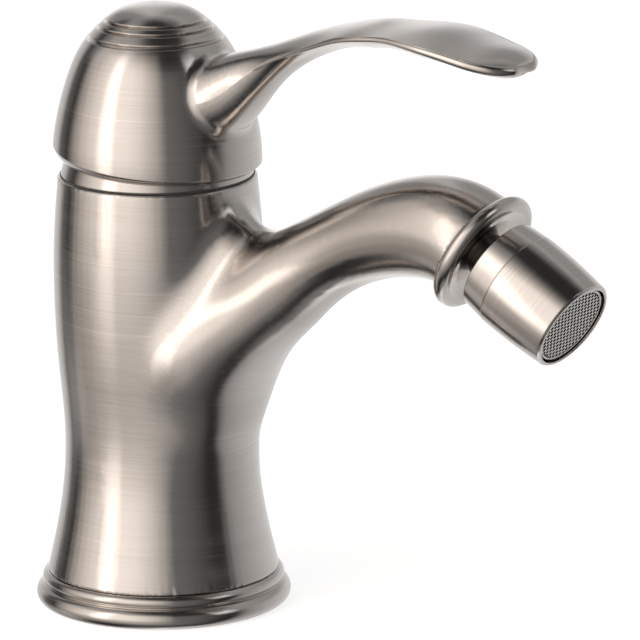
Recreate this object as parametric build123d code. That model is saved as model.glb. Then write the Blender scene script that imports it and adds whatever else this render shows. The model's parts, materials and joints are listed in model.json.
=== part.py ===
from build123d import *
import math
import os

os.makedirs("parts", exist_ok=True)

# A single-lever bidet mixer with a swivelling aerator.
# The spout points along +X, +Z is up, and the origin is on the body's axis in the deck plane.

# Running gaps and the overrun of every cut
fit_gap = 0.1
turning_gap = 0.05
seat_gap = 0.05
overrun = 1.0

# Base ring that covers the edge of the deck hole
ring_height = 7.4
ring_ledge = 1.1
ring_bead_step = 1.5
ring_notch_depth = 0.7
ring_notch_height = 4.6
ring_foot_inset = 1.3
ring_top_round = 1.4

# Seals under the foot
gasket_land = 1.8
gasket_width = 1.8
gasket_thickness = 1.6

# Cast body, from the foot seam up
foot_radius = 26.5
foot_ledge = 3.4
waist_radius = 21.95
waist_rise = 31.0
bulge_rise = 67.0
bulge_over_rim = 1.35
body_rise = 92.0
foot_lean = 0.24
rim_lean = 0.1
rim_chamfer = 0.4
spigot_lift = 1.0
flare_rise_share = 0.42
flare_radius_share = 0.371
shoulder_rise_share = 0.547
shoulder_radius_share = 0.705

# Spout, measured to the centre of its end ring
spout_reach = 91.1
outlet_drop = 5.7
outlet_dip_angle = 29.0
spout_end_radius = 12.3
spout_end_setback = 1.9
waterway_radius = 5.0
waterway_join_count = 5
end_bore_depth = 7.0
spout_root_blend = 9.0

# The spout's line from its root inside the body: shares of the reach and of the outlet height
spout_path_shares = (
    (0.065, 0.30),
    (0.09, 0.40),
    (0.12, 0.49),
    (0.18, 0.66),
    (0.28, 0.76),
    (0.40, 0.845),
    (0.50, 0.91),
    (0.60, 0.965),
    (0.71, 1.01),
    (0.86, 1.04),
)
spout_angles = (75, 80, 78, 60, 50, 38, 31, 27, 19, 0)

# Half width and half depth there: shares of the end radius
spout_girth_shares = (
    (1.15, 0.92),
    (1.30, 1.03),
    (1.48, 1.06),
    (1.62, 1.15),
    (1.30, 1.05),
    (0.98, 0.92),
    (0.82, 0.81),
    (0.79, 0.79),
    (0.85, 0.85),
    (0.95, 0.95),
)

# The passage from under the cartridge to where it meets the spout's own line
waterway_path_shares = ((0.08, 0.57), (0.22, 0.62), (0.30, 0.70))
waterway_angles = (15, 38, 52)

# Ceramic cartridge, stacked from the floor of its chamber up
pivot_drop = 3.9
chamber_radius = 17.75
housing_wall = 2.5
housing_roof = 2.1
collar_over_pivot = 3.1
collar_height = 10.0
collar_wall = 1.85
cartridge_base_height = 2.3
base_plug_height = 2.0
seal_width = 1.5
seal_thickness = 1.2
disc_inset = 0.75
disc_thickness = 3.2
moving_disc_radius = 11.0
moving_disc_thickness = 4.0
mixing_pocket_depth = 2.0
mixing_pocket_radius = 3.4
mixing_pocket_length = 4.0
mixing_pocket_shift = 2.0
driver_radius = 10.5
driver_floor = 0.6
carrier_flange_inset = 0.45
carrier_flange_height = 5.0
carrier_play = 0.85
carrier_radius = 12.0
slot_length = 13.2
pin_radius = 1.5
pin_setback = 1.0
stem_width = 8.0
stem_tip_radius = 3.5
stem_tip_depth = 2.2
stem_socket_gap = 0.6

# Water ports through the base and the fixed disc
inlet_setback = 5.0
inlet_spacing = 16.0
inlet_passage_radius = 3.1
outlet_passage_radius = 4.4
outlet_land = 1.5

# Clamp nut and the trim ring above the body
thread_step = 0.65
rim_wall = 4.2
nut_flats_drop = 0.25
nut_head_height = 3.2
nut_head_step = 1.6
nut_bore_gap = 0.15
neck_gasket_thickness = 0.35
neck_gasket_inset = 0.5
neck_step = 0.25
neck_height = 3.8
neck_wall = 2.2
neck_roof = 1.0

# Threaded holes in the foot
inlet_thread_radius = 4.5
inlet_thread_depth = 14.0
stud_thread_radius = 3.4
stud_thread_depth = 18.0
stud_offset = 11.0

# Handle: a bell-shaped cap and a leaf-shaped lever in one casting
cap_rim_lift = 2.3
cap_rim_angle = 3.5
cap_lip = 1.1
cap_skirt_lift = 3.6
cap_rise = 35.6
cap_outline_shares = ((0.955, 0.27), (0.845, 0.54), (0.675, 0.77), (0.505, 0.89))
cap_wall = 2.4
cap_round = 5.4
rim_cup_shift = 0.7
cap_sphere_gap = 0.35
groove_depth = 0.35
groove_width = 0.5

# The grooves on the dome, from the lowest up: shares of the cap's rise and of the groove's width
groove_rise_shares = (0.797, 0.862, 0.903)
groove_width_shares = (1.7, 1.0, 1.0)

# Grub screw, its plug, and the stem that they hold
screw_rise_share = 0.337
screw_radius = 2.5
screw_length = 11.0
plug_radius = 3.4
plug_thickness = 2.0
boss_radius = 8.2
boss_drop = 7.0
stem_over_screw = 6.0

# Lever, measured from the axis, with its sections hanging below the crown
lever_reach = 105.0
lever_crown_rise = 43.1
lever_root_lift = 3.1
lever_half_width = 11.6
lever_root_blend = 3.5

# Each row: share of the reach, shares of the root's drop down to the top, the edge and the belly,
# and share of the half width
lever_section_shares = (
    (0.12, 0.35, 0.61, 0.99, 1.10),
    (0.20, 0.32, 0.56, 0.81, 0.86),
    (0.27, 0.27, 0.44, 0.64, 0.66),
    (0.34, 0.21, 0.30, 0.44, 0.54),
    (0.43, 0.12, 0.20, 0.28, 0.62),
    (0.53, 0.04, 0.10, 0.18, 0.80),
    (0.62, 0.00, 0.05, 0.15, 0.95),
    (0.72, 0.00, 0.03, 0.155, 1.00),
    (0.82, 0.03, 0.06, 0.185, 0.99),
    (0.90, 0.06, 0.10, 0.215, 0.89),
    (0.94, 0.08, 0.12, 0.22, 0.74),
    (0.96, 0.10, 0.13, 0.21, 0.55),
    (0.975, 0.12, 0.14, 0.19, 0.26),
)

# End ring on the spout
flange_bead_step = 0.5
flange_bead_radius = 1.8
flange_dish_inset = 3.6
flange_dish_depth = 0.8
flange_spigot_step = 3.3
flange_spigot_length = 6.0

# Ball joint
ball_radius = 7.6
ball_sink = 0.65
ball_stem_radius = 5.0
ball_stem_length = 7.0
ball_bore_radius = 3.6

# Aerator round the ball
swivel_setback = 2.94
swivel_seam_offset = 3.05
housing_length = 16.9
joint_spigot_wall = 2.1
joint_spigot_length = 2.4
spigot_wall = 0.9
swivel_wall = 1.9
swivel_taper = 0.6
mouth_taper = 0.75
mouth_wall = 1.0
mouth_round = 0.45
belly_share = 0.45
belly_bulge = 0.25
partition_offset = 5.7
partition_thickness = 2.3
partition_bore_radius = 5.9
ball_seat_thickness = 0.6
ball_seat_low_offset = 2.6
ball_seat_high_offset = 5.9
aerator_gasket_thickness = 1.2
aerator_gasket_width = 2.0
insert_gap = 0.35
insert_wall = 1.3
insert_recess = 1.0
filter_thickness = 0.8
filter_hole_radius = 0.9
filter_ring_shares = (0.35, 0.72)
filter_ring_counts = (6, 12)
honeycomb_thickness = 1.6
honeycomb_cell = 1.08
honeycomb_web = 0.26
honeycomb_grid_count = 21


# Heights that follow from the sizes above
foot_height = ring_height
rim_height = foot_height + body_rise
outlet_height = rim_height - outlet_drop
pivot_height = rim_height - pivot_drop
collar_top = pivot_height + collar_over_pivot
shoulder_height = collar_top - collar_height
housing_ceiling = shoulder_height - housing_roof
carrier_flange_top = housing_ceiling - carrier_play
carrier_base = carrier_flange_top - carrier_flange_height
driver_top = carrier_base - seat_gap
driver_base = driver_top - stem_tip_depth - stem_socket_gap - driver_floor
moving_disc_top = driver_base - seat_gap
moving_disc_base = moving_disc_top - moving_disc_thickness
disc_top = moving_disc_base - seat_gap
disc_base = disc_top - disc_thickness
plug_top = disc_base - seat_gap
base_top = plug_top - base_plug_height
housing_base = base_top + seat_gap
chamber_floor = base_top - cartridge_base_height - seat_gap
neck_base = rim_height + neck_gasket_thickness
cap_rim_height = rim_height + cap_rim_lift
cap_skirt_height = rim_height + cap_skirt_lift
cap_top_height = cap_skirt_height + cap_rise
screw_height = cap_skirt_height + screw_rise_share * cap_rise
boss_height = screw_height - boss_drop
stem_top = screw_height + stem_over_screw
lever_crown_height = rim_height + lever_crown_rise
lever_root_drop = lever_crown_rise - lever_root_lift

# Radii that follow, from the foot up and from the cartridge out
ring_bore_radius = foot_radius - foot_ledge
ring_step_radius = foot_radius + ring_ledge
ring_bead_radius = ring_step_radius + ring_bead_step
gasket_radius = ring_bead_radius - ring_foot_inset - gasket_land
housing_radius = chamber_radius - fit_gap
housing_bore_radius = housing_radius - housing_wall
collar_radius = carrier_radius + turning_gap + collar_wall
disc_radius = housing_bore_radius - disc_inset
carrier_flange_radius = housing_bore_radius - carrier_flange_inset
outlet_offset = disc_radius - outlet_passage_radius - outlet_land
thread_radius = chamber_radius + thread_step
nut_head_radius = thread_radius - nut_head_step
rim_radius = thread_radius + rim_wall
bulge_radius = rim_radius + bulge_over_rim
neck_sphere_radius = rim_radius - neck_step
cap_skirt_radius = neck_sphere_radius + cap_sphere_gap + cap_lip
rim_cup_radius = cap_skirt_radius + rim_cup_shift

# Places along the outlet axis, from the centre of the end ring, and the radii round them
flange_bead_ring_radius = spout_end_radius + flange_bead_step
flange_spigot_radius = spout_end_radius - flange_spigot_step
flange_dish_radius = flange_bead_ring_radius - flange_dish_inset
dish_floor = flange_bead_radius - flange_dish_depth
ball_offset = dish_floor + ball_radius - ball_sink
swivel_start = ball_offset - swivel_setback
swivel_seam = ball_offset + swivel_seam_offset
spigot_end = swivel_seam - joint_spigot_length
partition_start = ball_offset + partition_offset
partition_end = partition_start + partition_thickness
mouth_distance = swivel_seam + housing_length
insert_low = partition_end + aerator_gasket_thickness + seat_gap
insert_high = mouth_distance - insert_recess
joint_spigot_radius = ball_radius + joint_spigot_wall
swivel_seam_radius = joint_spigot_radius + swivel_wall
swivel_back_radius = swivel_seam_radius - swivel_taper
mouth_radius = swivel_seam_radius - mouth_taper
mouth_bore_radius = mouth_radius - mouth_wall
insert_radius = mouth_bore_radius - insert_gap
screen_radius = insert_radius - insert_wall - seat_gap


def turned(*outline):
    """Revolve a closed outline of radius and height pairs about the vertical axis."""
    face = make_face(Polyline(*[(r, 0, z) for r, z in outline], close=True))
    return revolve(face, axis=Axis.Z)


def disc(radius, low, high, x=0.0, y=0.0):
    """A round bar between two heights."""
    return Pos(x, y, (low + high) / 2) * Cylinder(radius, high - low)


def ring(outer, inner, low, high, x=0.0, y=0.0):
    """A plain ring between two heights."""
    return disc(outer, low, high, x, y) - disc(inner, low - overrun, high + overrun, x, y)


def body_outline():
    """The points of the cast body's side, from the foot seam to the rim."""
    flare = waist_radius + flare_radius_share * (foot_radius - waist_radius)
    shoulder = waist_radius + shoulder_radius_share * (bulge_radius - waist_radius)
    shoulder_rise = waist_rise + shoulder_rise_share * (bulge_rise - waist_rise)
    return (
        (foot_radius, 0, foot_height),
        (flare, 0, foot_height + flare_rise_share * waist_rise),
        (waist_radius, 0, foot_height + waist_rise),
        (shoulder, 0, foot_height + shoulder_rise),
        (bulge_radius, 0, foot_height + bulge_rise),
        (rim_radius, 0, rim_height),
    )


def column():
    """The turned column of the body, solid, with its spigot inside the base ring."""
    points = body_outline()
    side = Spline(*points, tangents=((-foot_lean, 0, 1), (-rim_lean, 0, 1)))
    spigot = ring_bore_radius - fit_gap
    rest = Polyline(
        points[-1],
        (0, 0, rim_height),
        (0, 0, spigot_lift),
        (spigot, 0, spigot_lift),
        (spigot, 0, foot_height),
        points[0],
    )
    solid = Rot(0, 0, 180) * revolve(make_face(side + rest), axis=Axis.Z)
    rim = solid.edges().filter_by(GeomType.CIRCLE).sort_by(Axis.Z)[-1]
    return chamfer(rim, rim_chamfer)


def path_frames(shares, angles):
    """Centres and directions along a line in the plane of symmetry."""
    frames = []
    for (along, up), degrees in zip(shares, angles):
        angle = math.radians(degrees)
        centre = (along * spout_reach, 0, up * outlet_height)
        frames.append((centre, (math.cos(angle), 0, math.sin(angle))))
    return frames


def spout_end_frame():
    """Centre and direction of the spout's end face, just behind the end ring."""
    dip = math.radians(outlet_dip_angle)
    heading = (math.cos(dip), 0, -math.sin(dip))
    centre = (
        spout_reach - spout_end_setback * heading[0],
        0,
        outlet_height - spout_end_setback * heading[2],
    )
    return centre, heading


def spout():
    """The outside of the spout, broad where it grows out of the column."""
    sections = []
    for (centre, heading), (across, deep) in zip(
        path_frames(spout_path_shares, spout_angles), spout_girth_shares
    ):
        plane = Plane(origin=centre, x_dir=(heading[2], 0, -heading[0]), z_dir=heading)
        sections.append(plane * Ellipse(deep * spout_end_radius, across * spout_end_radius))
    centre, heading = spout_end_frame()
    plane = Plane(origin=centre, x_dir=(heading[2], 0, -heading[0]), z_dir=heading)
    sections.append(plane * Circle(spout_end_radius))
    return loft(sections)


def spout_waterway():
    """The water passage, from under the cartridge along the spout to its end."""
    frames = path_frames(waterway_path_shares, waterway_angles)
    frames += path_frames(spout_path_shares, spout_angles)[waterway_join_count:]
    frames.append(spout_end_frame())
    sections = []
    for centre, heading in frames:
        plane = Plane(origin=centre, x_dir=(0, 1, 0), z_dir=heading)
        sections.append(plane * Circle(waterway_radius))
    return loft(sections)


def outlet_place():
    """The frame of the outlet axis, with its origin at the centre of the end ring."""
    dip = math.radians(outlet_dip_angle)
    heading = (math.cos(dip), 0, -math.sin(dip))
    return Plane(origin=(spout_reach, 0, outlet_height), x_dir=(0, 1, 0), z_dir=heading).location


def inlet_ports():
    """Centres and radius of the hot and the cold inlet, in plan."""
    side = inlet_spacing / 2
    return ((-inlet_setback, side, inlet_passage_radius), (-inlet_setback, -side, inlet_passage_radius))


def outlet_port():
    """Centre and radius of the mixed water's port, in plan."""
    return (outlet_offset, 0, outlet_passage_radius)


def all_ports():
    return (*inlet_ports(), outlet_port())


def mixer_body():
    stem_side = column()
    spout_side = spout()
    casting = stem_side + spout_side
    seam = new_edges(stem_side, spout_side, combined=casting)
    casting = fillet(seam, spout_root_blend)
    rim_cut = rim_height + overrun
    casting -= disc(chamber_radius, chamber_floor, rim_cut)
    casting -= disc(thread_radius, shoulder_height, rim_cut)
    mouth = spigot_lift - overrun
    passage_top = chamber_floor + overrun
    for x, y, radius in inlet_ports():
        casting -= disc(radius, spigot_lift, passage_top, x, y)
        casting -= disc(inlet_thread_radius, mouth, spigot_lift + inlet_thread_depth, x, y)
    casting -= disc(stud_thread_radius, mouth, spigot_lift + stud_thread_depth, stud_offset)
    x, y, radius = outlet_port()
    casting -= disc(radius, waterway_path_shares[0][1] * outlet_height, passage_top, x, y)
    casting -= spout_waterway()
    end_bore = disc(
        flange_spigot_radius + fit_gap,
        -spout_end_setback - end_bore_depth,
        -spout_end_setback + overrun,
    )
    casting -= outlet_place() * end_bore
    return casting


def base_ring():
    step = ring_step_radius
    bead = ring_bead_radius
    notch = step - ring_notch_depth
    bead_height = ring_notch_height
    top = ring_height - seat_gap
    middle = (ring_notch_height + top) / 2
    upper = ThreePointArc((step - ring_top_round, 0, top), (step, 0, middle), (notch, 0, bead_height))
    lower = ThreePointArc(
        (notch, 0, bead_height),
        (bead, 0, bead_height / 2),
        (bead - ring_foot_inset, 0, 0),
    )
    rest = Polyline(
        (bead - ring_foot_inset, 0, 0),
        (ring_bore_radius, 0, 0),
        (ring_bore_radius, 0, top),
        (step - ring_top_round, 0, top),
    )
    solid = revolve(make_face(upper + lower + rest), axis=Axis.Z)
    groove = ring(gasket_radius, gasket_radius - gasket_width, -overrun, gasket_thickness)
    return solid - groove


def base_gasket():
    return ring(
        gasket_radius - seat_gap,
        gasket_radius - gasket_width + seat_gap,
        0,
        gasket_thickness - seat_gap,
    )


def neck_gasket():
    return ring(rim_radius - neck_gasket_inset, thread_radius + fit_gap, rim_height, neck_base)


def neck_cover():
    top = neck_base + neck_height
    low_radius = math.sqrt(neck_sphere_radius**2 - (neck_base - pivot_height) ** 2)
    mid_height = (neck_base + top) / 2
    mid_radius = math.sqrt(neck_sphere_radius**2 - (mid_height - pivot_height) ** 2)
    top_radius = math.sqrt(neck_sphere_radius**2 - (top - pivot_height) ** 2)
    inner = top_radius - neck_wall
    eye = nut_head_radius + fit_gap
    zone = ThreePointArc((low_radius, 0, neck_base), (mid_radius, 0, mid_height), (top_radius, 0, top))
    rest = Polyline(
        (top_radius, 0, top),
        (eye, 0, top),
        (eye, 0, top - neck_roof),
        (inner, 0, top - neck_roof),
        (inner, 0, neck_base),
        (low_radius, 0, neck_base),
    )
    return revolve(make_face(zone + rest), axis=Axis.Z)


def clamp_nut():
    bore = collar_radius + nut_bore_gap
    low = shoulder_height + seat_gap
    thread = thread_radius - fit_gap
    thread_top = rim_height - nut_flats_drop
    head_top = rim_height + nut_head_height
    body = disc(thread, low, thread_top)
    flats = Pos(0, 0, (thread_top + head_top) / 2) * extrude(
        RegularPolygon(nut_head_radius, 6), (head_top - thread_top) / 2, both=True
    )
    return body + flats - disc(bore, low - overrun, head_top + overrun)


def cartridge_housing():
    shell = disc(housing_radius, housing_base, shoulder_height)
    shell += disc(collar_radius, shoulder_height, collar_top)
    shell -= disc(housing_bore_radius, housing_base - overrun, housing_ceiling)
    shell -= disc(carrier_radius + turning_gap, housing_ceiling - overrun, collar_top + overrun)
    return shell


def cartridge_base():
    low = chamber_floor
    plate = disc(housing_radius, low + seat_gap, base_top)
    plate += disc(housing_bore_radius - fit_gap, base_top, plug_top)
    for x, y, radius in all_ports():
        plate -= disc(radius, low - overrun, plug_top + overrun, x, y)
        plate -= disc(radius + seal_width + seat_gap, low - overrun, low + seal_thickness, x, y)
    return plate


def port_seals():
    low = chamber_floor
    high = low + seal_thickness - seat_gap
    rings = [
        ring(radius + seal_width, radius + seat_gap, low, high, x, y)
        for x, y, radius in all_ports()
    ]
    return Compound(children=rings)


def fixed_disc():
    plate = disc(disc_radius, disc_base, disc_top)
    for x, y, radius in all_ports():
        plate -= disc(radius, disc_base - overrun, disc_top + overrun, x, y)
    return plate


def moving_disc():
    plate = disc(moving_disc_radius, moving_disc_base, moving_disc_top)
    low = moving_disc_base - overrun
    high = moving_disc_base + mixing_pocket_depth
    outline = SlotCenterToCenter(mixing_pocket_length, 2 * mixing_pocket_radius)
    pocket = Pos(mixing_pocket_shift, 0, low) * extrude(outline, high - low)
    return plate - pocket


def disc_driver():
    plate = disc(driver_radius, driver_base, driver_top)
    socket = stem_tip_radius + stem_socket_gap
    return plate - disc(socket, driver_top - stem_tip_depth - stem_socket_gap, driver_top + overrun)


def stem_carrier():
    turret = disc(carrier_flange_radius, carrier_base, carrier_flange_top)
    turret += disc(carrier_radius, carrier_flange_top, collar_top)
    height = collar_top - carrier_base + 2 * overrun
    middle = (collar_top + carrier_base) / 2
    slot = Pos(0, 0, middle) * Box(slot_length, stem_width + 2 * fit_gap, height)
    hole = Rot(90, 0, 0) * Cylinder(pin_radius + turning_gap, 2 * (carrier_radius + overrun))
    return turret - slot - Pos(0, 0, pivot_height) * hole


def stem_pin():
    length = 2 * (carrier_radius - pin_setback)
    return Pos(0, 0, pivot_height) * Rot(90, 0, 0) * Cylinder(pin_radius, length)


def stem():
    low = driver_top + stem_socket_gap
    bar = Pos(0, 0, (low + stem_top) / 2) * Box(stem_width, stem_width, stem_top - low)
    bar += disc(stem_tip_radius, driver_top - stem_tip_depth, low)
    hole = Rot(90, 0, 0) * Cylinder(pin_radius + turning_gap, stem_width + overrun)
    return bar - Pos(0, 0, pivot_height) * hole


def cap_outline(inset=0.0):
    """Points of the bell's side, from the skirt to the top, or of its inner wall when inset."""
    tall = cap_top_height - cap_skirt_height
    points = [(cap_skirt_radius - inset, 0, cap_skirt_height)]
    for across, up in cap_outline_shares:
        slant = up * inset
        points.append((across * cap_skirt_radius - inset, 0, cap_skirt_height + up * tall - slant))
    points.append((0, 0, cap_top_height - inset))
    return points


def bell(inset=0.0):
    """The bell of the handle, before its rim is cut on a slant."""
    points = cap_outline(inset)
    side = Spline(*points, tangents=((0, 0, 1), (-1, 0, 0)))
    low = rim_height
    rest = Polyline(points[-1], (0, 0, low), (points[0][0], 0, low), points[0])
    return Rot(0, 0, 180) * revolve(make_face(side + rest), axis=Axis.Z)


def rim_cup():
    """A round-bottomed cup, tilted, whose inside gives the cap its slanted and rounded rim."""
    tall = cap_top_height - cap_rim_height + cap_round
    start = (rim_cup_radius - cap_round, 0, 0)
    corner = cap_round * math.sqrt(0.5)
    bend = (rim_cup_radius - cap_round + corner, 0, cap_round - corner)
    end = (rim_cup_radius, 0, cap_round)
    arc = ThreePointArc(start, bend, end)
    rest = Polyline(end, (rim_cup_radius, 0, tall), (0, 0, tall), (0, 0, 0), start)
    cup = revolve(make_face(arc + rest), axis=Axis.Z)
    return Pos(rim_cup_shift, 0, cap_rim_height) * Rot(0, cap_rim_angle, 0) * cup


def cap_inside():
    """The hollow of the bell: a ball zone that clears the trim ring, then a thin bell wall."""
    reach = neck_sphere_radius + cap_sphere_gap
    skirt = cap_skirt_radius - cap_wall
    knee = pivot_height + math.sqrt(reach**2 - skirt**2)
    low = rim_height - overrun
    low_radius = math.sqrt(reach**2 - (low - pivot_height) ** 2)
    mid = (low + knee) / 2
    mid_radius = math.sqrt(reach**2 - (mid - pivot_height) ** 2)
    zone = ThreePointArc((low_radius, 0, low), (mid_radius, 0, mid), (skirt, 0, knee))
    points = cap_outline(cap_wall)
    side = Spline((skirt, 0, knee), *points[1:], tangents=((0, 0, 1), (-1, 0, 0)))
    rest = Polyline(points[-1], (0, 0, low), (low_radius, 0, low))
    return revolve(make_face(zone + side + rest), axis=Axis.Z)


def lever():
    """The leaf-shaped lever: a crowned top and a rounder belly that meet in two crisp edges."""
    sections = []
    for along, top, side, belly, wide in lever_section_shares:
        x = along * lever_reach
        crown = lever_crown_height - top * lever_root_drop
        edge = lever_crown_height - side * lever_root_drop
        low = lever_crown_height - belly * lever_root_drop
        half = wide * lever_half_width
        over = ThreePointArc((x, -half, edge), (x, 0, crown), (x, half, edge))
        under = ThreePointArc((x, half, edge), (x, 0, low), (x, -half, edge))
        sections.append(make_face(over + under))
    return loft(sections)


def groove_cutters():
    """Fine grooves round the dome of the cap, cut to an even depth below its skin."""
    core = bell(groove_depth)
    reach = cap_outline()[-3][0] + overrun
    cutters = []
    for rise, width in zip(groove_rise_shares, groove_width_shares):
        height = cap_skirt_height + rise * cap_rise
        half = width * groove_width / 2
        cutters.append(disc(reach, height - half, height + half) - core)
    return cutters


def handle():
    boss = disc(boss_radius, boss_height, cap_top_height - cap_wall)
    shell = bell() & rim_cup()
    leaf = lever()
    casting = shell + leaf
    casting = fillet(new_edges(shell, leaf, combined=casting), lever_root_blend)
    casting -= cap_inside() - boss
    for cutter in groove_cutters():
        casting -= cutter
    depth = stem_top + fit_gap - boss_height + overrun
    width = stem_width + 2 * fit_gap
    casting -= Pos(0, 0, stem_top + fit_gap - depth / 2) * Box(width, width, depth)
    bore = Rot(0, 90, 0) * Cylinder(screw_radius + seat_gap, cap_skirt_radius)
    casting -= Pos(-cap_skirt_radius / 2, 0, screw_height) * bore
    counterbore = Rot(0, 90, 0) * Cylinder(plug_radius + seat_gap, plug_thickness + overrun)
    casting -= Pos(plug_centre() - overrun / 2, 0, screw_height) * counterbore
    return casting


def plug_centre():
    """Where the plug's middle lies behind the axis, just under the skin of the cap."""
    return -(cap_outline()[1][0] - plug_thickness)


def handle_screw():
    screw = Rot(0, 90, 0) * Cylinder(screw_radius, screw_length)
    centre = -(stem_width / 2 + seat_gap + screw_length / 2)
    socket = Rot(0, 90, 0) * extrude(RegularPolygon(screw_radius / 2, 6), screw_radius)
    return Pos(centre, 0, screw_height) * screw - Pos(centre - screw_length / 2, 0, screw_height) * socket


def screw_plug():
    plug = Rot(0, 90, 0) * Cylinder(plug_radius, plug_thickness)
    return Pos(plug_centre(), 0, screw_height) * plug


def spout_flange():
    bead = Torus(flange_bead_ring_radius, flange_bead_radius)
    back = -spout_end_setback + seat_gap
    plate = disc(flange_bead_ring_radius, back, flange_bead_radius)
    plate -= turned(
        (0, dish_floor),
        (flange_dish_radius, dish_floor),
        (flange_bead_ring_radius - flange_bead_radius / 2, flange_bead_radius),
        (flange_bead_ring_radius, flange_bead_radius + overrun),
        (0, flange_bead_radius + overrun),
    )
    spigot = disc(flange_spigot_radius, back - flange_spigot_length, back)
    bore_low = back - flange_spigot_length - overrun
    bore = disc(ball_stem_radius + seat_gap, bore_low, flange_bead_radius + overrun)
    return outlet_place() * (bead + plate + spigot - bore)


def ball_joint():
    ball = Pos(0, 0, ball_offset) * Sphere(ball_radius)
    stem_low = dish_floor - ball_stem_length
    stalk = disc(ball_stem_radius, stem_low, ball_offset)
    bore = disc(ball_bore_radius, stem_low - overrun, ball_offset + ball_radius + overrun)
    return outlet_place() * (ball + stalk - bore)


def ball_zone(gap):
    """The ball's own sphere, grown by a gap, along the outlet axis."""
    return Pos(0, 0, ball_offset) * Sphere(ball_radius + gap)


def ball_seat():
    """A low-friction shell between the ball and the aerator housing."""
    zone = disc(
        ball_radius + ball_seat_thickness,
        ball_offset + ball_seat_low_offset,
        ball_offset + ball_seat_high_offset,
    )
    shell = (zone & ball_zone(turning_gap + ball_seat_thickness)) - ball_zone(turning_gap)
    return outlet_place() * shell


def swivel_ring():
    shell = turned(
        (0, swivel_start),
        (swivel_back_radius, swivel_start),
        (swivel_seam_radius, swivel_seam - seat_gap),
        (0, swivel_seam - seat_gap),
    )
    shell -= disc(joint_spigot_radius + fit_gap, spigot_end - seat_gap, swivel_seam + overrun)
    shell -= ball_zone(turning_gap)
    return outlet_place() * shell


def aerator_housing():
    belly = swivel_seam + belly_share * (mouth_distance - swivel_seam)
    belly_radius = swivel_seam_radius + belly_share * (mouth_radius - swivel_seam_radius) + belly_bulge
    side = ThreePointArc(
        (swivel_seam_radius, 0, swivel_seam),
        (belly_radius, 0, belly),
        (mouth_radius, 0, mouth_distance - mouth_round),
    )
    lip = Polyline(
        (mouth_radius, 0, mouth_distance - mouth_round),
        (mouth_radius - mouth_round, 0, mouth_distance),
        (0, 0, mouth_distance),
        (0, 0, spigot_end),
        (joint_spigot_radius, 0, spigot_end),
        (joint_spigot_radius, 0, swivel_seam),
        (swivel_seam_radius, 0, swivel_seam),
    )
    shell = revolve(make_face(side + lip), axis=Axis.Z)
    shell -= disc(joint_spigot_radius - spigot_wall, spigot_end - overrun, partition_start)
    shell -= ball_zone(ball_seat_thickness + 2 * turning_gap)
    shell -= disc(partition_bore_radius, partition_start - overrun, partition_end + overrun)
    shell -= disc(mouth_bore_radius, partition_end, mouth_distance + overrun)
    return outlet_place() * shell


def aerator_gasket():
    outer = mouth_bore_radius - fit_gap
    low = partition_end
    return outlet_place() * ring(outer, outer - aerator_gasket_width, low, low + aerator_gasket_thickness)


def aerator_insert():
    cup = ring(insert_radius, insert_radius - insert_wall, insert_low, insert_high)
    return outlet_place() * cup


def filter_screen():
    top = insert_low + filter_thickness
    plate = disc(screen_radius, insert_low, top)
    for share, count in zip(filter_ring_shares, filter_ring_counts):
        for place in PolarLocations(share * screen_radius, count):
            plate -= place * disc(filter_hole_radius, insert_low - overrun, top + overrun)
    return outlet_place() * plate


def honeycomb():
    """A thin round plate with a close pattern of hexagonal openings."""
    reach = screen_radius - honeycomb_web - honeycomb_cell / 2
    half_opening = (honeycomb_cell - honeycomb_web) / 2
    openings = [
        place * RegularPolygon(half_opening, 6, major_radius=False, rotation=30)
        for place in HexLocations(honeycomb_cell / 2, honeycomb_grid_count, honeycomb_grid_count)
        if place.position.length < reach
    ]
    plate = extrude(Circle(screen_radius) - openings, honeycomb_thickness)
    return outlet_place() * Pos(0, 0, insert_high - honeycomb_thickness) * plate


makers = (
    mixer_body,
    base_ring,
    base_gasket,
    neck_gasket,
    neck_cover,
    clamp_nut,
    cartridge_housing,
    cartridge_base,
    port_seals,
    fixed_disc,
    moving_disc,
    disc_driver,
    stem_carrier,
    stem_pin,
    stem,
    handle,
    handle_screw,
    screw_plug,
    spout_flange,
    ball_joint,
    ball_seat,
    swivel_ring,
    aerator_housing,
    aerator_gasket,
    aerator_insert,
    filter_screen,
    honeycomb,
)

for make in makers:
    solid = make()
    export_step(solid, os.path.join("parts", make.__name__ + ".step"))
    print(make.__name__, round(solid.volume, 1))
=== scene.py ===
# %% [markdown]
# A bidet mixer in brushed nickel.
# The real object is a cast brass column with a short spout, a bell-shaped handle and a small
# swivelling aerator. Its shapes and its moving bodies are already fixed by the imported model, so the
# scene starts from that frame. Working in the frame's own metres means nothing has to be fitted.

# %% Load the frame
import json
import math

import bmesh
import bpy
from mathutils import Matrix, Vector
from mathutils.bvhtree import BVHTree


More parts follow.
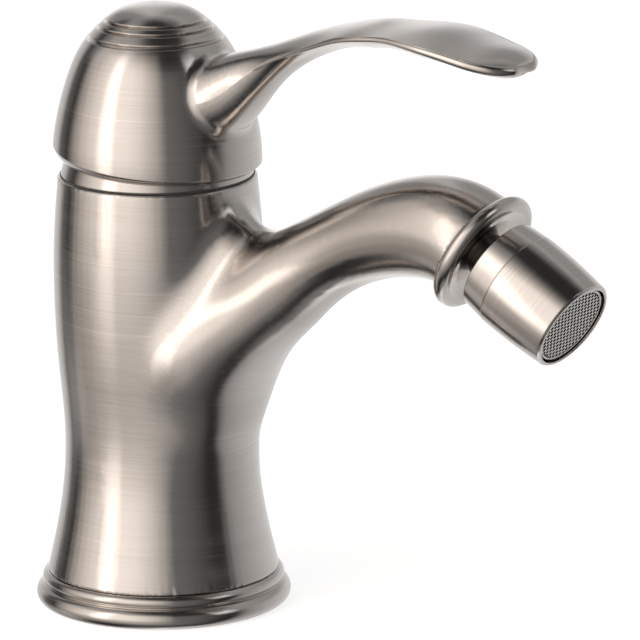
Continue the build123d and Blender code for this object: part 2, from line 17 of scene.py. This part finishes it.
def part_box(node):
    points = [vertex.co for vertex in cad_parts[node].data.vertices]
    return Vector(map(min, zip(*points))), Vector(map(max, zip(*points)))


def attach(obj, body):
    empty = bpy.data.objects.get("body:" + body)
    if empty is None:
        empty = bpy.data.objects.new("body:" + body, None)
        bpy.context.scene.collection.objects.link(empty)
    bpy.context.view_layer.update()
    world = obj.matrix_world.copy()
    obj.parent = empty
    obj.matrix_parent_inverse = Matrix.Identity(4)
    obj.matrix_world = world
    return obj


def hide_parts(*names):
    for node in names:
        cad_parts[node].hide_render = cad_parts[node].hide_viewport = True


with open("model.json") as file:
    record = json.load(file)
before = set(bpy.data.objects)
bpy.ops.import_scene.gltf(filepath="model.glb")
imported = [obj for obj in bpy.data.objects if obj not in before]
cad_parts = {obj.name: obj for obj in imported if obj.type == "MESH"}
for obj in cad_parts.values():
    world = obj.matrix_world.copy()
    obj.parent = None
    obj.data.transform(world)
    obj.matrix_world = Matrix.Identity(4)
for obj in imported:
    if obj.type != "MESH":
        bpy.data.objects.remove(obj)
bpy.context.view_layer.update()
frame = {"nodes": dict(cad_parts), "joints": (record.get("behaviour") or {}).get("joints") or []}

nodes = frame["nodes"]


def node_middle(node):
    """The middle of a CAD node's box."""
    low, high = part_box(node)
    return (Vector(low) + Vector(high)) / 2


# %% [markdown]
# Sizes in the drawing are in millimetres, and Blender works in metres.
# One named factor keeps the numbers below readable, and a few places are read from the frame,
# so that a later change of the model moves the pieces that belong to it.

# %% Units and the places that the pieces share
mm = 0.001
joints = {joint["name"]: joint for joint in frame["joints"]}
ball_centre = Vector(joints["aerator_tilt"]["pos_m"])
pan_axis = Vector(joints["aerator_pan"]["axis"])
outlet_axis = pan_axis.cross(Vector((0, 1, 0))).normalized()
if outlet_axis.x < 0:
    outlet_axis.negate()
upright = (0, 0, 1)
fore_and_aft = (1, 0, 0)
print("ball centre in mm:", tuple(round(v / mm, 2) for v in ball_centre))

# %% [markdown]
# The camera is a long lens from a little above, turned so that the spout comes towards the viewer's
# right. A long lens keeps the column's sides nearly parallel, as a product photographer wants, and
# the place and the angles were found from the round seams, which show as flat ellipses.

# %% Camera
camera_place = Vector((1.1021, -1.3765, 0.5050))
camera_turn = math.radians(37.5)
camera_dip = math.radians(14.02)
camera_roll = math.radians(-0.605)
lens_length, film_width = 450, 36
camera_data = bpy.data.cameras.new("camera")
camera_data.lens = lens_length
camera_data.sensor_width = film_width
camera_data.clip_start = 0.1
camera_data.clip_end = 100
camera = bpy.data.objects.new("camera", camera_data)
bpy.context.scene.collection.objects.link(camera)
level = Matrix.Rotation(camera_turn, 4, "Z")
level = level @ Matrix.Rotation(math.radians(90) - camera_dip, 4, "X")
rolled = level @ Matrix.Rotation(camera_roll, 4, "Z")
camera.matrix_world = Matrix.Translation(camera_place) @ rolled
bpy.context.scene.camera = camera
bpy.context.scene.view_settings.view_transform = "Standard"
print("camera at", tuple(round(v, 3) for v in camera_place))

# %% [markdown]
# Metal shows the room more than itself, so the light is most of its look.
# The column shows upright bands, as tall soft boxes with dark gaps beside them would make. The
# room is built in that way: each panel is a soft-edged rectangle of directions, given by its
# bearing to the right of the camera and by its heights above the horizon. A panel takes a few
# shader nodes, and the sum of them all lights the scene from every side.

# %% Shader helpers
def node_at(tree, kind, **values):
    """Add a shader node and set its plain attributes."""
    made = tree.nodes.new(kind)
    for key, value in values.items():
        setattr(made, key, value)
    return made


def feed(tree, socket, value):
    """Link a socket to another, or set its own value."""
    if isinstance(value, bpy.types.NodeSocket):
        tree.links.new(value, socket)
    else:
        socket.default_value = value


def math_node(tree, operation, first, second=0.0, third=0.0):
    """One step of arithmetic on single values."""
    made = node_at(tree, "ShaderNodeMath", operation=operation)
    for socket, value in zip(made.inputs, (first, second, third)):
        feed(tree, socket, value)
    return made.outputs[0]


def vector_node(tree, operation, first, second=(0, 0, 0), third=(0, 0, 0)):
    """One step of arithmetic on vectors."""
    made = node_at(tree, "ShaderNodeVectorMath", operation=operation)
    for socket, value in zip(made.inputs, (first, second, third)):
        feed(tree, socket, value)
    return made.outputs["Value" if operation in ("DOT_PRODUCT", "LENGTH") else "Vector"]


def ramp_step(tree, value, start, end, low=0.0, high=1.0):
    """A smooth rise from one value to another as the input goes from start to end."""
    made = node_at(tree, "ShaderNodeMapRange", interpolation_type="SMOOTHSTEP")
    feed(tree, made.inputs["Value"], value)
    made.inputs["From Min"].default_value = start
    made.inputs["From Max"].default_value = end
    made.inputs["To Min"].default_value = low
    made.inputs["To Max"].default_value = high
    return made.outputs["Result"]


# %% The room
world = bpy.data.worlds.new("room")
bpy.context.scene.world = world
world.use_nodes = True
room = world.node_tree
direction = node_at(room, "ShaderNodeTexCoord").outputs["Generated"]
direction = vector_node(room, "NORMALIZE", direction)
flattened = vector_node(room, "MULTIPLY", direction, (1, 1, 0))
level_direction = vector_node(room, "NORMALIZE", flattened)
height = node_at(room, "ShaderNodeSeparateXYZ")
feed(room, height.inputs[0], direction)
height = height.outputs["Z"]
warm = (1.08, 1.0, 0.93)
white = (1.0, 1.0, 1.0)


def toward(bearing):
    """How squarely a direction faces a bearing, which is in degrees to the right of the camera."""
    angle = camera_turn - math.radians(90 - bearing)
    return vector_node(room, "DOT_PRODUCT", level_direction, (math.cos(angle), math.sin(angle), 0))


def between(low, high, rise):
    """One between two heights in degrees, fading to nothing outside them."""
    window = 1.0
    if low > -90:
        start, end = (math.sin(math.radians(low + way * rise)) for way in (-1, 1))
        window = ramp_step(room, height, start, end)
    if high < 90:
        start, end = (math.sin(math.radians(high + way * rise)) for way in (-1, 1))
        window = math_node(room, "MULTIPLY", window, ramp_step(room, height, start, end, 1.0, 0.0))
    return window


def panel(light, bearing, spread, edge, low, high, strength, tint=white, rise=8):
    """Add a flat panel with soft edges to the light so far."""
    start, end = (math.cos(math.radians(spread + way * edge)) for way in (1, -1))
    window = ramp_step(room, toward(bearing), start, end)
    window = math_node(room, "MULTIPLY", window, between(low, high, rise))
    return vector_node(room, "MULTIPLY_ADD", window, tuple(strength * part for part in tint), light)


def glow(light, bearing, reach, low, high, strength, tint=white, rise=8):
    """Add a glow that fades evenly from its bearing to its reach."""
    window = math_node(room, "SUBTRACT", toward(bearing), math.cos(math.radians(reach)))
    window = math_node(room, "DIVIDE", window, 1 - math.cos(math.radians(reach)))
    window = math_node(room, "MAXIMUM", window, 0.0)
    window = math_node(room, "MULTIPLY", window, between(low, high, rise))
    return vector_node(room, "MULTIPLY_ADD", window, tuple(strength * part for part in tint), light)


least_light, light_from_below = 0.035, 0.24
light = (least_light,) * 3
light = glow(light, -52, 64, -17, 56, 1.28, warm, 19)
light = panel(light, -59, 7, 5, -14, 50, 0.85, warm, 14)
light = glow(light, -5, 62, -58, 40, 0.18)
light = panel(light, -115, 12, 8, -52, -16, 0.25)
light = panel(light, -112, 10, 8, 20, 60, 0.25)
light = glow(light, 165, 80, -90, 18, 0.4, white, 12)
light = panel(light, 135, 58, 10, -90, 60, 0.36)
light = panel(light, -160, 21, 8, -90, 18, 0.42, white, 12)
light = panel(light, -160, 21, 8, 18, 58, 0.3, white, 12)
light = panel(light, 62, 9, 7, 20, 46, 1.1)
light = panel(light, -60, 56, 24, -44, -20, 0.3, warm, 7)
light = panel(light, -140, 100, 40, 56, 76, 0.3)
light = vector_node(room, "MULTIPLY_ADD", between(-90, -74, 6), (light_from_below,) * 3, light)
feed(room, room.nodes["Background"].inputs["Color"], light)
room.nodes["Background"].inputs["Strength"].default_value = 1.0
print("room:", len(room.nodes), "shader nodes")

# %% [markdown]
# The floor is a flat matt white plane that catches a faint soft shadow. It glows a little, so that it
# stays near white where the room is dark. The metal doesn't mirror it, because the photograph
# shows far darker undersides than a white table would give.

# %% Floor
def new_material(name):
    """A material with one principled shader, returned with its tree and shader."""
    made = bpy.data.materials.new(name)
    made.use_nodes = True
    return made, made.node_tree, made.node_tree.nodes["Principled BSDF"]


floor_size = 6.0
floor_glow = 0.72
floor_data = bpy.data.meshes.new("floor")
floor_mesh = bmesh.new()
bmesh.ops.create_grid(floor_mesh, x_segments=1, y_segments=1, size=floor_size)
floor_mesh.to_mesh(floor_data)
floor_mesh.free()
floor = bpy.data.objects.new("floor", floor_data)
bpy.context.scene.collection.objects.link(floor)
floor.visible_glossy = False
white_floor, _, floor_shader = new_material("white_floor")
floor_shader.inputs["Base Color"].default_value = (0.8, 0.8, 0.8, 1)
floor_shader.inputs["Roughness"].default_value = 0.9
floor_shader.inputs["Specular IOR Level"].default_value = 0.0
floor_shader.inputs["Emission Color"].default_value = (1, 1, 1, 1)
floor_shader.inputs["Emission Strength"].default_value = floor_glow
floor.data.materials.append(white_floor)
print("floor:", floor.name)

# %% [markdown]
# Brushed nickel is a warm grey metal with fine scratches that all run one way. On a turned column
# they run round the axis. Noise stretched along the turning direction gives such scratches: the
# height and the radius drive it finely and the angle drives it slowly. A few deeper lines stand out
# lighter. The grain also spreads reflections across the scratches, which is what anisotropy stands
# for. Edges are rubbed smooth and pale by hands and cloths; a bevelled normal finds them, and it
# rounds them in the light as well. Away from the column the spout and lever are finer satin.

# %% Helpers for the finishes
bump_distance = 0.1 * mm
edge_begins, edge_is_full = 0.995, 0.93


def noise(tree, place, scale, detail=2.0, roughness=0.5):
    """Noise between zero and one."""
    made = node_at(tree, "ShaderNodeTexNoise")
    feed(tree, made.inputs["Vector"], place)
    made.inputs["Scale"].default_value = scale
    made.inputs["Detail"].default_value = detail
    made.inputs["Roughness"].default_value = roughness
    return made.outputs["Fac"]


def blend_colours(tree, share, first, second):
    """A colour between two others."""
    made = node_at(tree, "ShaderNodeMix", data_type="RGBA")
    feed(tree, made.inputs["Factor"], share)
    ends = [socket for socket in made.inputs if socket.type == "RGBA"]
    for socket, value in zip(ends, (first, second)):
        feed(tree, socket, value if isinstance(value, bpy.types.NodeSocket) else (*value, 1))
    return next(socket for socket in made.outputs if socket.type == "RGBA")


def edge_finder(tree, radius):
    """A rounded normal, and a share that is one on edges of about this radius."""
    rounded = node_at(tree, "ShaderNodeBevel", samples=4)
    rounded.inputs["Radius"].default_value = radius
    flat = node_at(tree, "ShaderNodeNewGeometry").outputs["Normal"]
    agree = vector_node(tree, "DOT_PRODUCT", rounded.outputs[0], flat)
    return rounded.outputs[0], ramp_step(tree, agree, edge_begins, edge_is_full)


def bumped(tree, shader, height_share, strength, normal=None):
    """Feed a bump made from a height to the shader's normal."""
    made = node_at(tree, "ShaderNodeBump")
    made.inputs["Strength"].default_value = strength
    made.inputs["Distance"].default_value = bump_distance
    feed(tree, made.inputs["Height"], height_share)
    if normal is not None:
        feed(tree, made.inputs["Normal"], normal)
    feed(tree, shader.inputs["Normal"], made.outputs[0])


# %% Brushed nickel
nickel_dark = (0.555, 0.513, 0.482)
nickel_light = (0.62, 0.58, 0.55)
nickel_worn = (0.72, 0.68, 0.64)
column_reach = 28 * mm
turning_drift = (0.02, 0.02, 0.02)
nickel_edge = 0.35 * mm
across_the_grain = 0.25


def brushed_nickel(name, centre, axis, roughness=0.15, stretch=0.6, grain=2600.0, depth=0.05):
    """Nickel brushed round an axis through a centre, both in the object's own space."""
    made, tree, shader = new_material(name)
    place = node_at(tree, "ShaderNodeTexCoord").outputs["Object"]
    arm = vector_node(tree, "SUBTRACT", place, tuple(centre))
    along = vector_node(tree, "DOT_PRODUCT", arm, tuple(axis))
    around = vector_node(tree, "CROSS_PRODUCT", tuple(axis), arm)
    away = vector_node(tree, "LENGTH", around)
    joined = node_at(tree, "ShaderNodeCombineXYZ")
    feed(tree, joined.inputs["X"], along)
    feed(tree, joined.inputs["Y"], away)
    drift = vector_node(tree, "MULTIPLY_ADD", arm, turning_drift, joined.outputs[0])
    scratches = noise(tree, drift, grain, 5, 0.6)
    streaks = noise(tree, drift, grain / 9)
    cloud = noise(tree, place, 90.0, 3)
    near = ramp_step(tree, away, column_reach, column_reach * 1.25, 1.0, 0.3)
    both = math_node(tree, "MULTIPLY_ADD", streaks, 0.35, scratches)
    brushing = math_node(tree, "MULTIPLY", both, near)
    lines = ramp_step(tree, noise(tree, drift, grain / 3, 1), 0.66, 0.72)
    lines = math_node(tree, "MULTIPLY", lines, near)
    rounded, worn = edge_finder(tree, nickel_edge)
    rough = ramp_step(tree, both, 0.45, 0.95, roughness - 0.03, roughness + 0.05)
    rough = math_node(tree, "MULTIPLY_ADD", cloud, 0.03, rough)
    rough = math_node(tree, "MULTIPLY_ADD", worn, -0.04, rough)
    feed(tree, shader.inputs["Roughness"], rough)
    colour = blend_colours(tree, ramp_step(tree, brushing, 0.3, 0.95), nickel_dark, nickel_light)
    colour = blend_colours(tree, math_node(tree, "MULTIPLY", lines, 0.35), colour, nickel_worn)
    colour = blend_colours(tree, math_node(tree, "MULTIPLY", worn, 0.5), colour, nickel_worn)
    feed(tree, shader.inputs["Base Color"], colour)
    bumped(tree, shader, brushing, depth, rounded)
    shader.inputs["Metallic"].default_value = 1
    shader.inputs["Anisotropic"].default_value = stretch
    shader.inputs["Anisotropic Rotation"].default_value = across_the_grain
    feed(tree, shader.inputs["Tangent"], vector_node(tree, "NORMALIZE", around))
    return made


def dress(node, material):
    """Give a CAD node one material in every slot."""
    slots = nodes[node].material_slots
    if not slots:
        nodes[node].data.materials.append(material)
    for entry in slots:
        entry.material = material


upright_nickel = brushed_nickel("upright_brushed_nickel", (0, 0, 0), upright)
outlet_nickel = brushed_nickel(
    "outlet_satin_nickel", ball_centre, outlet_axis,
    roughness=0.12, stretch=0.35, grain=3200.0, depth=0.035
)
plug_nickel = brushed_nickel("plug_nickel", node_middle("screw_plug"), fore_and_aft, grain=3400.0)
for name in ("base_ring", "neck_cover", "handle"):
    dress(name, upright_nickel)
for name in ("spout_flange", "swivel_ring", "aerator_housing"):
    dress(name, outlet_nickel)
dress("screw_plug", plug_nickel)
print("dressed in nickel")

# %% [markdown]
# The parts inside are turned brass and steel. Turning leaves fine even rings, so a wave along the
# axis joins the noise, and the cut metal is a little brighter on its edges. A thin brown tarnish
# lies on brass in clouds.

# %% Turned brass and steel
def turned_metal(name, centre, axis, dull, bright, roughness, pitch, tarnish):
    """Metal turned on a lathe round an axis, with tool rings and clouds of tarnish."""
    made, tree, shader = new_material(name)
    place = node_at(tree, "ShaderNodeTexCoord").outputs["Object"]
    arm = vector_node(tree, "SUBTRACT", place, tuple(centre))
    along = vector_node(tree, "DOT_PRODUCT", arm, tuple(axis))
    away = vector_node(tree, "LENGTH", vector_node(tree, "CROSS_PRODUCT", tuple(axis), arm))
    run = math_node(tree, "MULTIPLY", math_node(tree, "ADD", along, away), math.tau / pitch)
    rings = math_node(tree, "MULTIPLY_ADD", math_node(tree, "SINE", run), 0.5, 0.5)
    cloud = noise(tree, place, 220.0, 4, 0.6)
    pores = noise(tree, place, 5200.0, 3)
    rounded, worn = edge_finder(tree, 0.25 * mm)
    colour = blend_colours(tree, ramp_step(tree, cloud, 0.35, 0.7), tarnish, dull)
    colour = blend_colours(tree, math_node(tree, "MULTIPLY", rings, 0.3), colour, bright)
    colour = blend_colours(tree, worn, colour, bright)
    feed(tree, shader.inputs["Base Color"], colour)
    rough = ramp_step(tree, cloud, 0.3, 0.7, roughness + 0.1, roughness)
    feed(tree, shader.inputs["Roughness"], math_node(tree, "MULTIPLY_ADD", pores, 0.06, rough))
    bumped(tree, shader, math_node(tree, "MULTIPLY_ADD", pores, 0.3, rings), 0.15, rounded)
    shader.inputs["Metallic"].default_value = 1
    shader.inputs["Anisotropic"].default_value = 0.5
    return made


brass = turned_metal(
    "turned_brass", (0, 0, 0), upright,
    dull=(0.72, 0.55, 0.29), bright=(0.86, 0.71, 0.42), roughness=0.28, pitch=0.24 * mm,
    tarnish=(0.45, 0.31, 0.15)
)
steel = turned_metal(
    "machined_steel", (0, 0, 0), upright,
    dull=(0.55, 0.55, 0.56), bright=(0.74, 0.74, 0.75), roughness=0.24, pitch=0.18 * mm,
    tarnish=(0.42, 0.41, 0.4)
)
screw_steel = turned_metal(
    "screw_steel", node_middle("handle_screw"), fore_and_aft,
    dull=(0.3, 0.3, 0.31), bright=(0.6, 0.6, 0.6), roughness=0.3, pitch=0.2 * mm,
    tarnish=(0.2, 0.19, 0.18)
)
dress("clamp_nut", brass)
for name in ("stem", "stem_pin"):
    dress(name, steel)
dress("handle_screw", screw_steel)
# The ball gets near-black steel colours, painted shade for the narrow gap where it shows.
ball_steel = turned_metal(
    "ball_in_painted_shade", ball_centre, outlet_axis,
    dull=(0.1, 0.09, 0.085), bright=(0.2, 0.18, 0.165), roughness=0.26, pitch=0.3 * mm,
    tarnish=(0.05, 0.045, 0.04)
)
dress("ball_joint", ball_steel)
print("dressed in turned metal")

# %% [markdown]
# Plastics, ceramic and rubber are not metals. Moulded plastic has a faint pebbled skin and pale
# rubbed edges, lapped ceramic is dense and glassy with tiny specks, and rubber is dark, matt and
# dusty, a little greyer where it has been stretched over an edge.

# %% Moulded, fired and rubbery finishes
def moulded(name, deep, pale, edge, roughness, grain, depth, sheen=0.0):
    """A plain moulded or fired finish with clouds, grain and rubbed edges."""
    made, tree, shader = new_material(name)
    place = node_at(tree, "ShaderNodeTexCoord").outputs["Object"]
    cloud = noise(tree, place, 160.0, 4, 0.6)
    pebbles = noise(tree, place, grain, 3, 0.6)
    specks = ramp_step(tree, noise(tree, place, grain * 0.4, 1), 0.68, 0.74)
    rounded, worn = edge_finder(tree, 0.2 * mm)
    colour = blend_colours(tree, ramp_step(tree, cloud, 0.3, 0.7), deep, pale)
    colour = blend_colours(tree, math_node(tree, "MULTIPLY", specks, 0.25), colour, edge)
    colour = blend_colours(tree, math_node(tree, "MULTIPLY", worn, 0.6), colour, edge)
    feed(tree, shader.inputs["Base Color"], colour)
    rough = ramp_step(tree, pebbles, 0.3, 0.7, roughness - 0.06, roughness + 0.06)
    feed(tree, shader.inputs["Roughness"], rough)
    bumped(tree, shader, pebbles, depth, rounded)
    shader.inputs["Sheen Weight"].default_value = sheen
    return made


rubber = moulded(
    "seal_rubber_black", deep=(0.018, 0.018, 0.019), pale=(0.04, 0.04, 0.041), edge=(0.1, 0.1, 0.1),
    roughness=0.62, grain=3600, depth=0.3, sheen=0.2
)
white_plastic = moulded(
    "cartridge_white", deep=(0.78, 0.77, 0.73), pale=(0.88, 0.88, 0.86), edge=(0.95, 0.95, 0.94),
    roughness=0.42, grain=4200, depth=0.12
)
slip_plastic = moulded(
    "slip_ring_white", deep=(0.86, 0.85, 0.83), pale=(0.93, 0.93, 0.92), edge=(0.97, 0.97, 0.97),
    roughness=0.3, grain=3000, depth=0.06
)
ceramic = moulded(
    "lapped_ceramic", deep=(0.84, 0.81, 0.76), pale=(0.93, 0.91, 0.88), edge=(0.97, 0.96, 0.94),
    roughness=0.14, grain=6400, depth=0.03
)
grid_plastic = moulded(
    "grid_grey", deep=(0.34, 0.33, 0.32), pale=(0.46, 0.45, 0.43), edge=(0.62, 0.61, 0.59),
    roughness=0.34, grain=4600, depth=0.1
)
dark_plastic = moulded(
    "insert_dark", deep=(0.035, 0.034, 0.033), pale=(0.07, 0.068, 0.066), edge=(0.2, 0.2, 0.19),
    roughness=0.4, grain=4600, depth=0.1
)
finishes = {
    rubber: ("base_gasket", "neck_gasket", "aerator_gasket", "port_seals"),
    white_plastic: ("cartridge_housing", "cartridge_base", "disc_driver", "stem_carrier"),
    slip_plastic: ("ball_seat",),
    ceramic: ("fixed_disc", "moving_disc"),
    grid_plastic: ("honeycomb", "filter_screen"),
    dark_plastic: ("aerator_insert",),
}
for finish, wearers in finishes.items():
    for name in wearers:
        dress(name, finish)
print("dressed", sum(len(wearers) for wearers in finishes.values()), "soft and moulded pieces")

# %% [markdown]
# On the real casting the spout's root runs out into the column without any line, as a founder fairs
# it with a broad thumb of wax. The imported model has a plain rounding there. A copy of its mesh is
# merged and remeshed into even small faces, the root's cheeks are drawn in towards the column, more
# so further down, and repeated smoothing of a shrinking region fades the rest.

# %% Faired casting
def fade(value, start, end):
    """Zero before the start, one past the end, and smooth between them."""
    share = min(max((value - start) / (end - start), 0.0), 1.0)
    return share * share * (3 - 2 * share)


voxel = 0.45 * mm
weld = 0.01 * mm
root_low, root_high = 24 * mm, 92 * mm
root_reach = 40 * mm
keel_low, keel_rise = 26 * mm, 58 * mm
narrow_cheek, wide_cheek = math.radians(6), math.radians(60)
cheek_fade = math.radians(52)
toe_height, toe_spread, toe_fill = 40 * mm, 13 * mm, 0.5 * mm
toe_inner, toe_outer = cheek_fade / 2, cheek_fade * 1.5
crown_start, crown_end = root_high - 14 * mm, root_high - 2 * mm
smoothing_rounds = 100
low_shrink, reach_shrink = 6 * mm, 8 * mm
high_margin, high_shrink = 6, 8
faces_kept = 0.42
far_behind = -0.1

plain_casting = nodes["mixer_body"].data.copy()
shape = bmesh.new()
shape.from_mesh(plain_casting)
bmesh.ops.remove_doubles(shape, verts=shape.verts, dist=weld)
shape.to_mesh(plain_casting)
skin = BVHTree.FromBMesh(shape)
shape.free()
casting = bpy.data.objects.new("faired_casting", plain_casting)
bpy.context.scene.collection.objects.link(casting)
even = casting.modifiers.new("even faces", "REMESH")
even.mode = "VOXEL"
even.voxel_size = voxel
evaluated = casting.evaluated_get(bpy.context.evaluated_depsgraph_get())
casting.data = bpy.data.meshes.new_from_object(evaluated)
casting.modifiers.clear()
print("even faces:", len(casting.data.polygons))


def column_radius(height):
    """The column's radius at a height, found from behind, where nothing stands out."""
    found = skin.ray_cast(Vector((far_behind, 0, height)), Vector((1, 0, 0)))[0]
    return -found.x


shape = bmesh.new()
shape.from_mesh(casting.data)
heights = range(int(root_low / mm), int(root_high / mm) + 2)
radius_at = {step: column_radius(step * mm) for step in heights}
cheeks = []
for vert in shape.verts:
    x, y, z = vert.co
    if x < 0 or not root_low < z < root_high:
        continue
    away = math.hypot(x, y)
    step = int(z / mm)
    share = z / mm - step
    plain = radius_at[step] * (1 - share) + radius_at[step + 1] * share
    if away < plain - 2 * voxel or away > root_reach:
        continue
    cheeks.append(vert)
    opening = fade(z, keel_low, keel_low + keel_rise)
    half = narrow_cheek + (wide_cheek - narrow_cheek) * opening
    bearing = abs(math.atan2(y, x))
    kept = 1 - fade(bearing, half, half + cheek_fade)
    kept += (1 - kept) * fade(z, crown_start, crown_end)
    drawn = min(away, plain) + max(away - plain, 0) * kept
    toe = 1 - fade(abs(z - toe_height), 0, toe_spread)
    drawn += toe_fill * toe * (1 - fade(bearing, toe_inner, toe_outer))
    vert.co.x *= drawn / away
    vert.co.y *= drawn / away
for turn in range(smoothing_rounds):
    inset = turn / smoothing_rounds
    low = root_low + low_shrink * inset
    high = root_high - (high_margin + high_shrink * inset) * mm
    reach = root_reach - reach_shrink * inset
    chosen = [v for v in cheeks if low < v.co.z < high and math.hypot(v.co.x, v.co.y) < reach]
    bmesh.ops.smooth_vert(
        shape, verts=chosen, factor=0.5, use_axis_x=True, use_axis_y=True, use_axis_z=True
    )
shape.to_mesh(casting.data)
shape.free()
casting.data.shade_smooth()
lighter = casting.modifiers.new("lighter", "DECIMATE")
lighter.ratio = faces_kept
casting.data.materials.clear()
casting.data.materials.append(upright_nickel)
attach(casting, "body")
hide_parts("mixer_body")
print("faired root vertices:", len(cheeks))

# %% [markdown]
# The leaf of the lever ends in a rounded bead that catches the light, with a crisp line where it
# meets the flat top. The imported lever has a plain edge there. Planes that cut a copy of the leaf
# give points on its edge, and a curve through them with a round section that thickens towards the
# tip makes the bead. It is sunk into the edge, so that about half of it shows.

# %% Lever bead
leaf = bmesh.new()
leaf.from_mesh(nodes["handle"].data)
bmesh.ops.remove_doubles(leaf, verts=leaf.verts, dist=weld)
tip_point = max((vert.co.copy() for vert in leaf.verts), key=lambda point: point.x)
bead_start, bead_stations = 33 * mm, 22
bead_root, bead_waist, bead_tip = 0.3 * mm, 0.62 * mm, 1.15 * mm
waist_full, tip_start, tip_full = 55 * mm, 66 * mm, 96 * mm
tip_inset = 0.3 * mm
bead_inset, bead_drop, nose_setback = 0.6, 0.85, 0.8
side_points = []
for station in range(bead_stations):
    share = math.sin(math.radians(90) * station / (bead_stations - 1))
    across = bead_start + (tip_point.x - tip_inset - bead_start) * share
    cut = bmesh.ops.bisect_plane(
        leaf, geom=leaf.verts[:] + leaf.edges[:] + leaf.faces[:],
        plane_co=(across, 0, 0), plane_no=(1, 0, 0)
    )["geom_cut"]
    on_plane = (item.co.copy() for item in cut if isinstance(item, bmesh.types.BMVert))
    edge_point = min(on_plane, key=lambda co: co.y)
    thick = bead_root + (bead_waist - bead_root) * fade(across, bead_start, waist_full)
    thick += (bead_tip - bead_waist) * fade(across, tip_start, tip_full)
    side_points.append((edge_point + Vector((0, bead_inset * thick, -bead_drop * thick)), thick))
leaf.free()
mirrored = [(Vector((point.x, -point.y, point.z)), thick) for point, thick in reversed(side_points)]
nose = (Vector((tip_point.x - nose_setback * bead_tip, 0, side_points[-1][0].z)), bead_tip)
bead_line = bpy.data.curves.new("lever_bead_line", "CURVE")
bead_line.dimensions = "3D"
bead_line.bevel_depth = 1.0
bead_line.bevel_resolution = 6
bead_line.use_fill_caps = True
spline = bead_line.splines.new("NURBS")
run = side_points + [nose] + mirrored
spline.points.add(len(run) - 1)
for point, (place, thick) in zip(spline.points, run):
    point.co = (*place, 1)
    point.radius = thick
spline.order_u = 4
spline.use_endpoint_u = True
spline.resolution_u = 6
bead_curve = bpy.data.objects.new("bead_curve", bead_line)
bead = bpy.data.objects.new("lever_bead", bpy.data.meshes.new_from_object(bead_curve))
bpy.data.objects.remove(bead_curve)
bpy.context.scene.collection.objects.link(bead)
bead.data.shade_smooth()
bead.data.materials.clear()
bead.data.materials.append(upright_nickel)
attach(bead, "handle")
print("lever bead:", len(bead.data.polygons), "faces")

# %% [markdown]
# The mouth of the aerator is closed by a honeycomb of small cells. Hexagons that share their sides
# make a flat net, each one is inset and its middle taken out, and what is left is pushed back into
# cell walls. The walls are painted near black inside, which is painted shade for the little light
# that reaches them, and their ends are the grid's own pale grey.

# %% Honeycomb
cell, web = 1.2 * mm, 0.3 * mm
grid_front, grid_depth = 19.35 * mm, 1.7 * mm
grid_radius, rim_radius, rim_inner = 8.9 * mm, 9.3 * mm, 8.9 * mm
rim_depth, rim_segments = 0.4 * mm, 96
corner_reach, row_pitch = cell / math.sqrt(3), math.sqrt(3) / 2
side_by_side = Matrix.Rotation(math.radians(30), 4, "Z")
net = bmesh.new()
rows = int(grid_radius / cell) + 2
for row in range(-rows, rows + 1):
    for column in range(-rows, rows + 1):
        spot = Vector((row * cell * row_pitch, (column + 0.5 * (row % 2)) * cell, 0))
        if spot.length > grid_radius:
            continue
        place = Matrix.Translation(spot) @ side_by_side
        bmesh.ops.create_circle(net, cap_ends=True, segments=6, radius=corner_reach, matrix=place)
bmesh.ops.remove_doubles(net, verts=net.verts, dist=weld)
print("honeycomb net:", len(net.faces), "cells,", len(net.verts), "corners")
bmesh.ops.inset_individual(net, faces=net.faces[:], thickness=web / 2, use_even_offset=True)
middles = [face for face in net.faces if len(face.verts) == 6]
bmesh.ops.delete(net, geom=middles, context="FACES")
walls = bmesh.ops.extrude_face_region(net, geom=net.faces[:])["geom"]
moved = [item for item in walls if isinstance(item, bmesh.types.BMVert)]
bmesh.ops.translate(net, verts=moved, vec=(0, 0, -grid_depth))
ring = bmesh.ops.create_circle(net, cap_ends=False, segments=rim_segments, radius=rim_radius)["verts"]
outer_edges = list({edge for vert in ring for edge in vert.link_edges})
inner = bmesh.ops.extrude_edge_only(net, edges=outer_edges)["geom"]
inner = [item for item in inner if isinstance(item, bmesh.types.BMVert)]
bmesh.ops.scale(net, verts=inner, vec=(rim_inner / rim_radius, rim_inner / rim_radius, 1))
ring_faces = list({face for vert in inner for face in vert.link_faces})
back = bmesh.ops.extrude_face_region(net, geom=ring_faces)["geom"]
back = [item for item in back if isinstance(item, bmesh.types.BMVert)]
bmesh.ops.translate(net, verts=back, vec=(0, 0, -rim_depth))
across_axis = Vector((0, 1, 0))
facing = Matrix((across_axis.cross(outlet_axis), across_axis, outlet_axis)).transposed().to_4x4()
place = Matrix.Translation(ball_centre + outlet_axis * grid_front) @ facing
bmesh.ops.transform(net, matrix=place, verts=net.verts)
bmesh.ops.recalc_face_normals(net, faces=net.faces)
grid_data = bpy.data.meshes.new("mouth_honeycomb")
net.to_mesh(grid_data)
net.free()
grid = bpy.data.objects.new("mouth_honeycomb", grid_data)
bpy.context.scene.collection.objects.link(grid)
cell_walls, tree, shader = new_material("honeycomb_cells")
place = node_at(tree, "ShaderNodeTexCoord").outputs["Object"]
surface = node_at(tree, "ShaderNodeNewGeometry").outputs["True Normal"]
square = math_node(tree, "ABSOLUTE", vector_node(tree, "DOT_PRODUCT", surface, tuple(outlet_axis)))
front = ramp_step(tree, square, 0.5, 0.9)
mottle = noise(tree, place, 1500.0, 2)
pale = blend_colours(tree, mottle, (0.4, 0.39, 0.37), (0.6, 0.58, 0.55))
# Walls that face sideways get a near-black colour, painted shade; faces toward the mouth keep the
# pale grey.
feed(tree, shader.inputs["Base Color"], blend_colours(tree, front, (0.012, 0.012, 0.012), pale))
feed(tree, shader.inputs["Roughness"], ramp_step(tree, mottle, 0.3, 0.7, 0.28, 0.4))
bumped(tree, shader, mottle, 0.1)
grid.data.materials.append(cell_walls)
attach(grid, "aerator")
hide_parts("honeycomb")
print("honeycomb:", len(grid.data.polygons), "faces")
